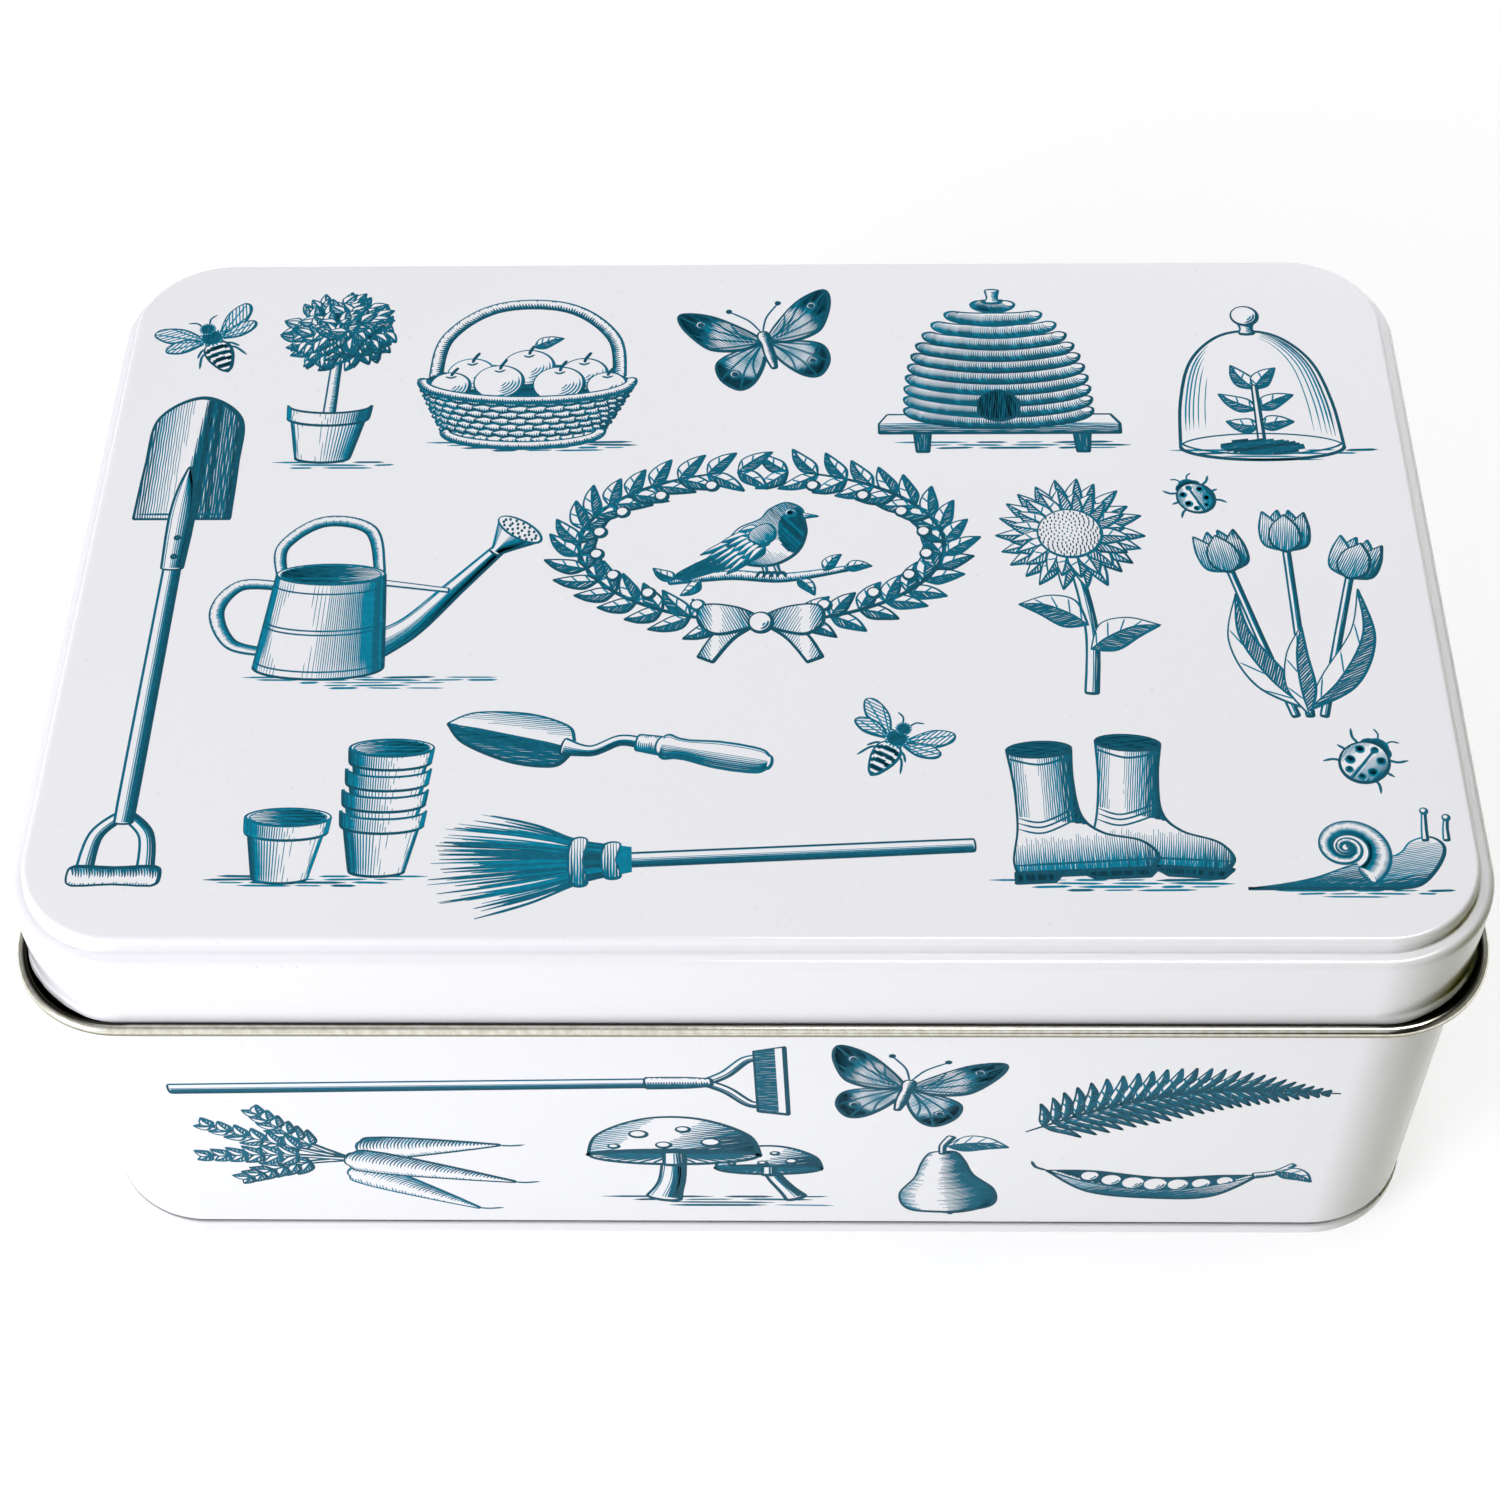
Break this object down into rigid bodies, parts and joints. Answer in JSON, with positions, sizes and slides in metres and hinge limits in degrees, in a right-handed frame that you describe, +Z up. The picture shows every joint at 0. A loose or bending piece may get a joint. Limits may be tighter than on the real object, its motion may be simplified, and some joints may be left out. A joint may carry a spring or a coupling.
{
  "type": "slip-lid storage tin",
  "caption": "Rectangular sheet-metal storage tin with round corners and a lift-off slip lid with a stepped top and a rolled edge.",
  "frame": {"origin": "middle of the footprint, on the surface that the tin stands on", "axes": "+X along the long side, +Y from front to back, +Z up through the lid"},
  "size_m": [0.2684, 0.1824, 0.102],
  "materials": {
    "white_lacquer": "gloss",
    "bare_tinplate": "satin",
    "teal_ink": "gloss"
  },
  "bodies": {
    "tin": {"body_wall": "white_lacquer", "base": "white_lacquer"},
    "lid": {"lid": "white_lacquer"}
  },
  "joints": [
    {"name": "lid_lift", "type": "slide", "parent": "tin", "child": "lid", "axis": [0, 0, 1], "range_m": [0, 0.12]}
  ]
}
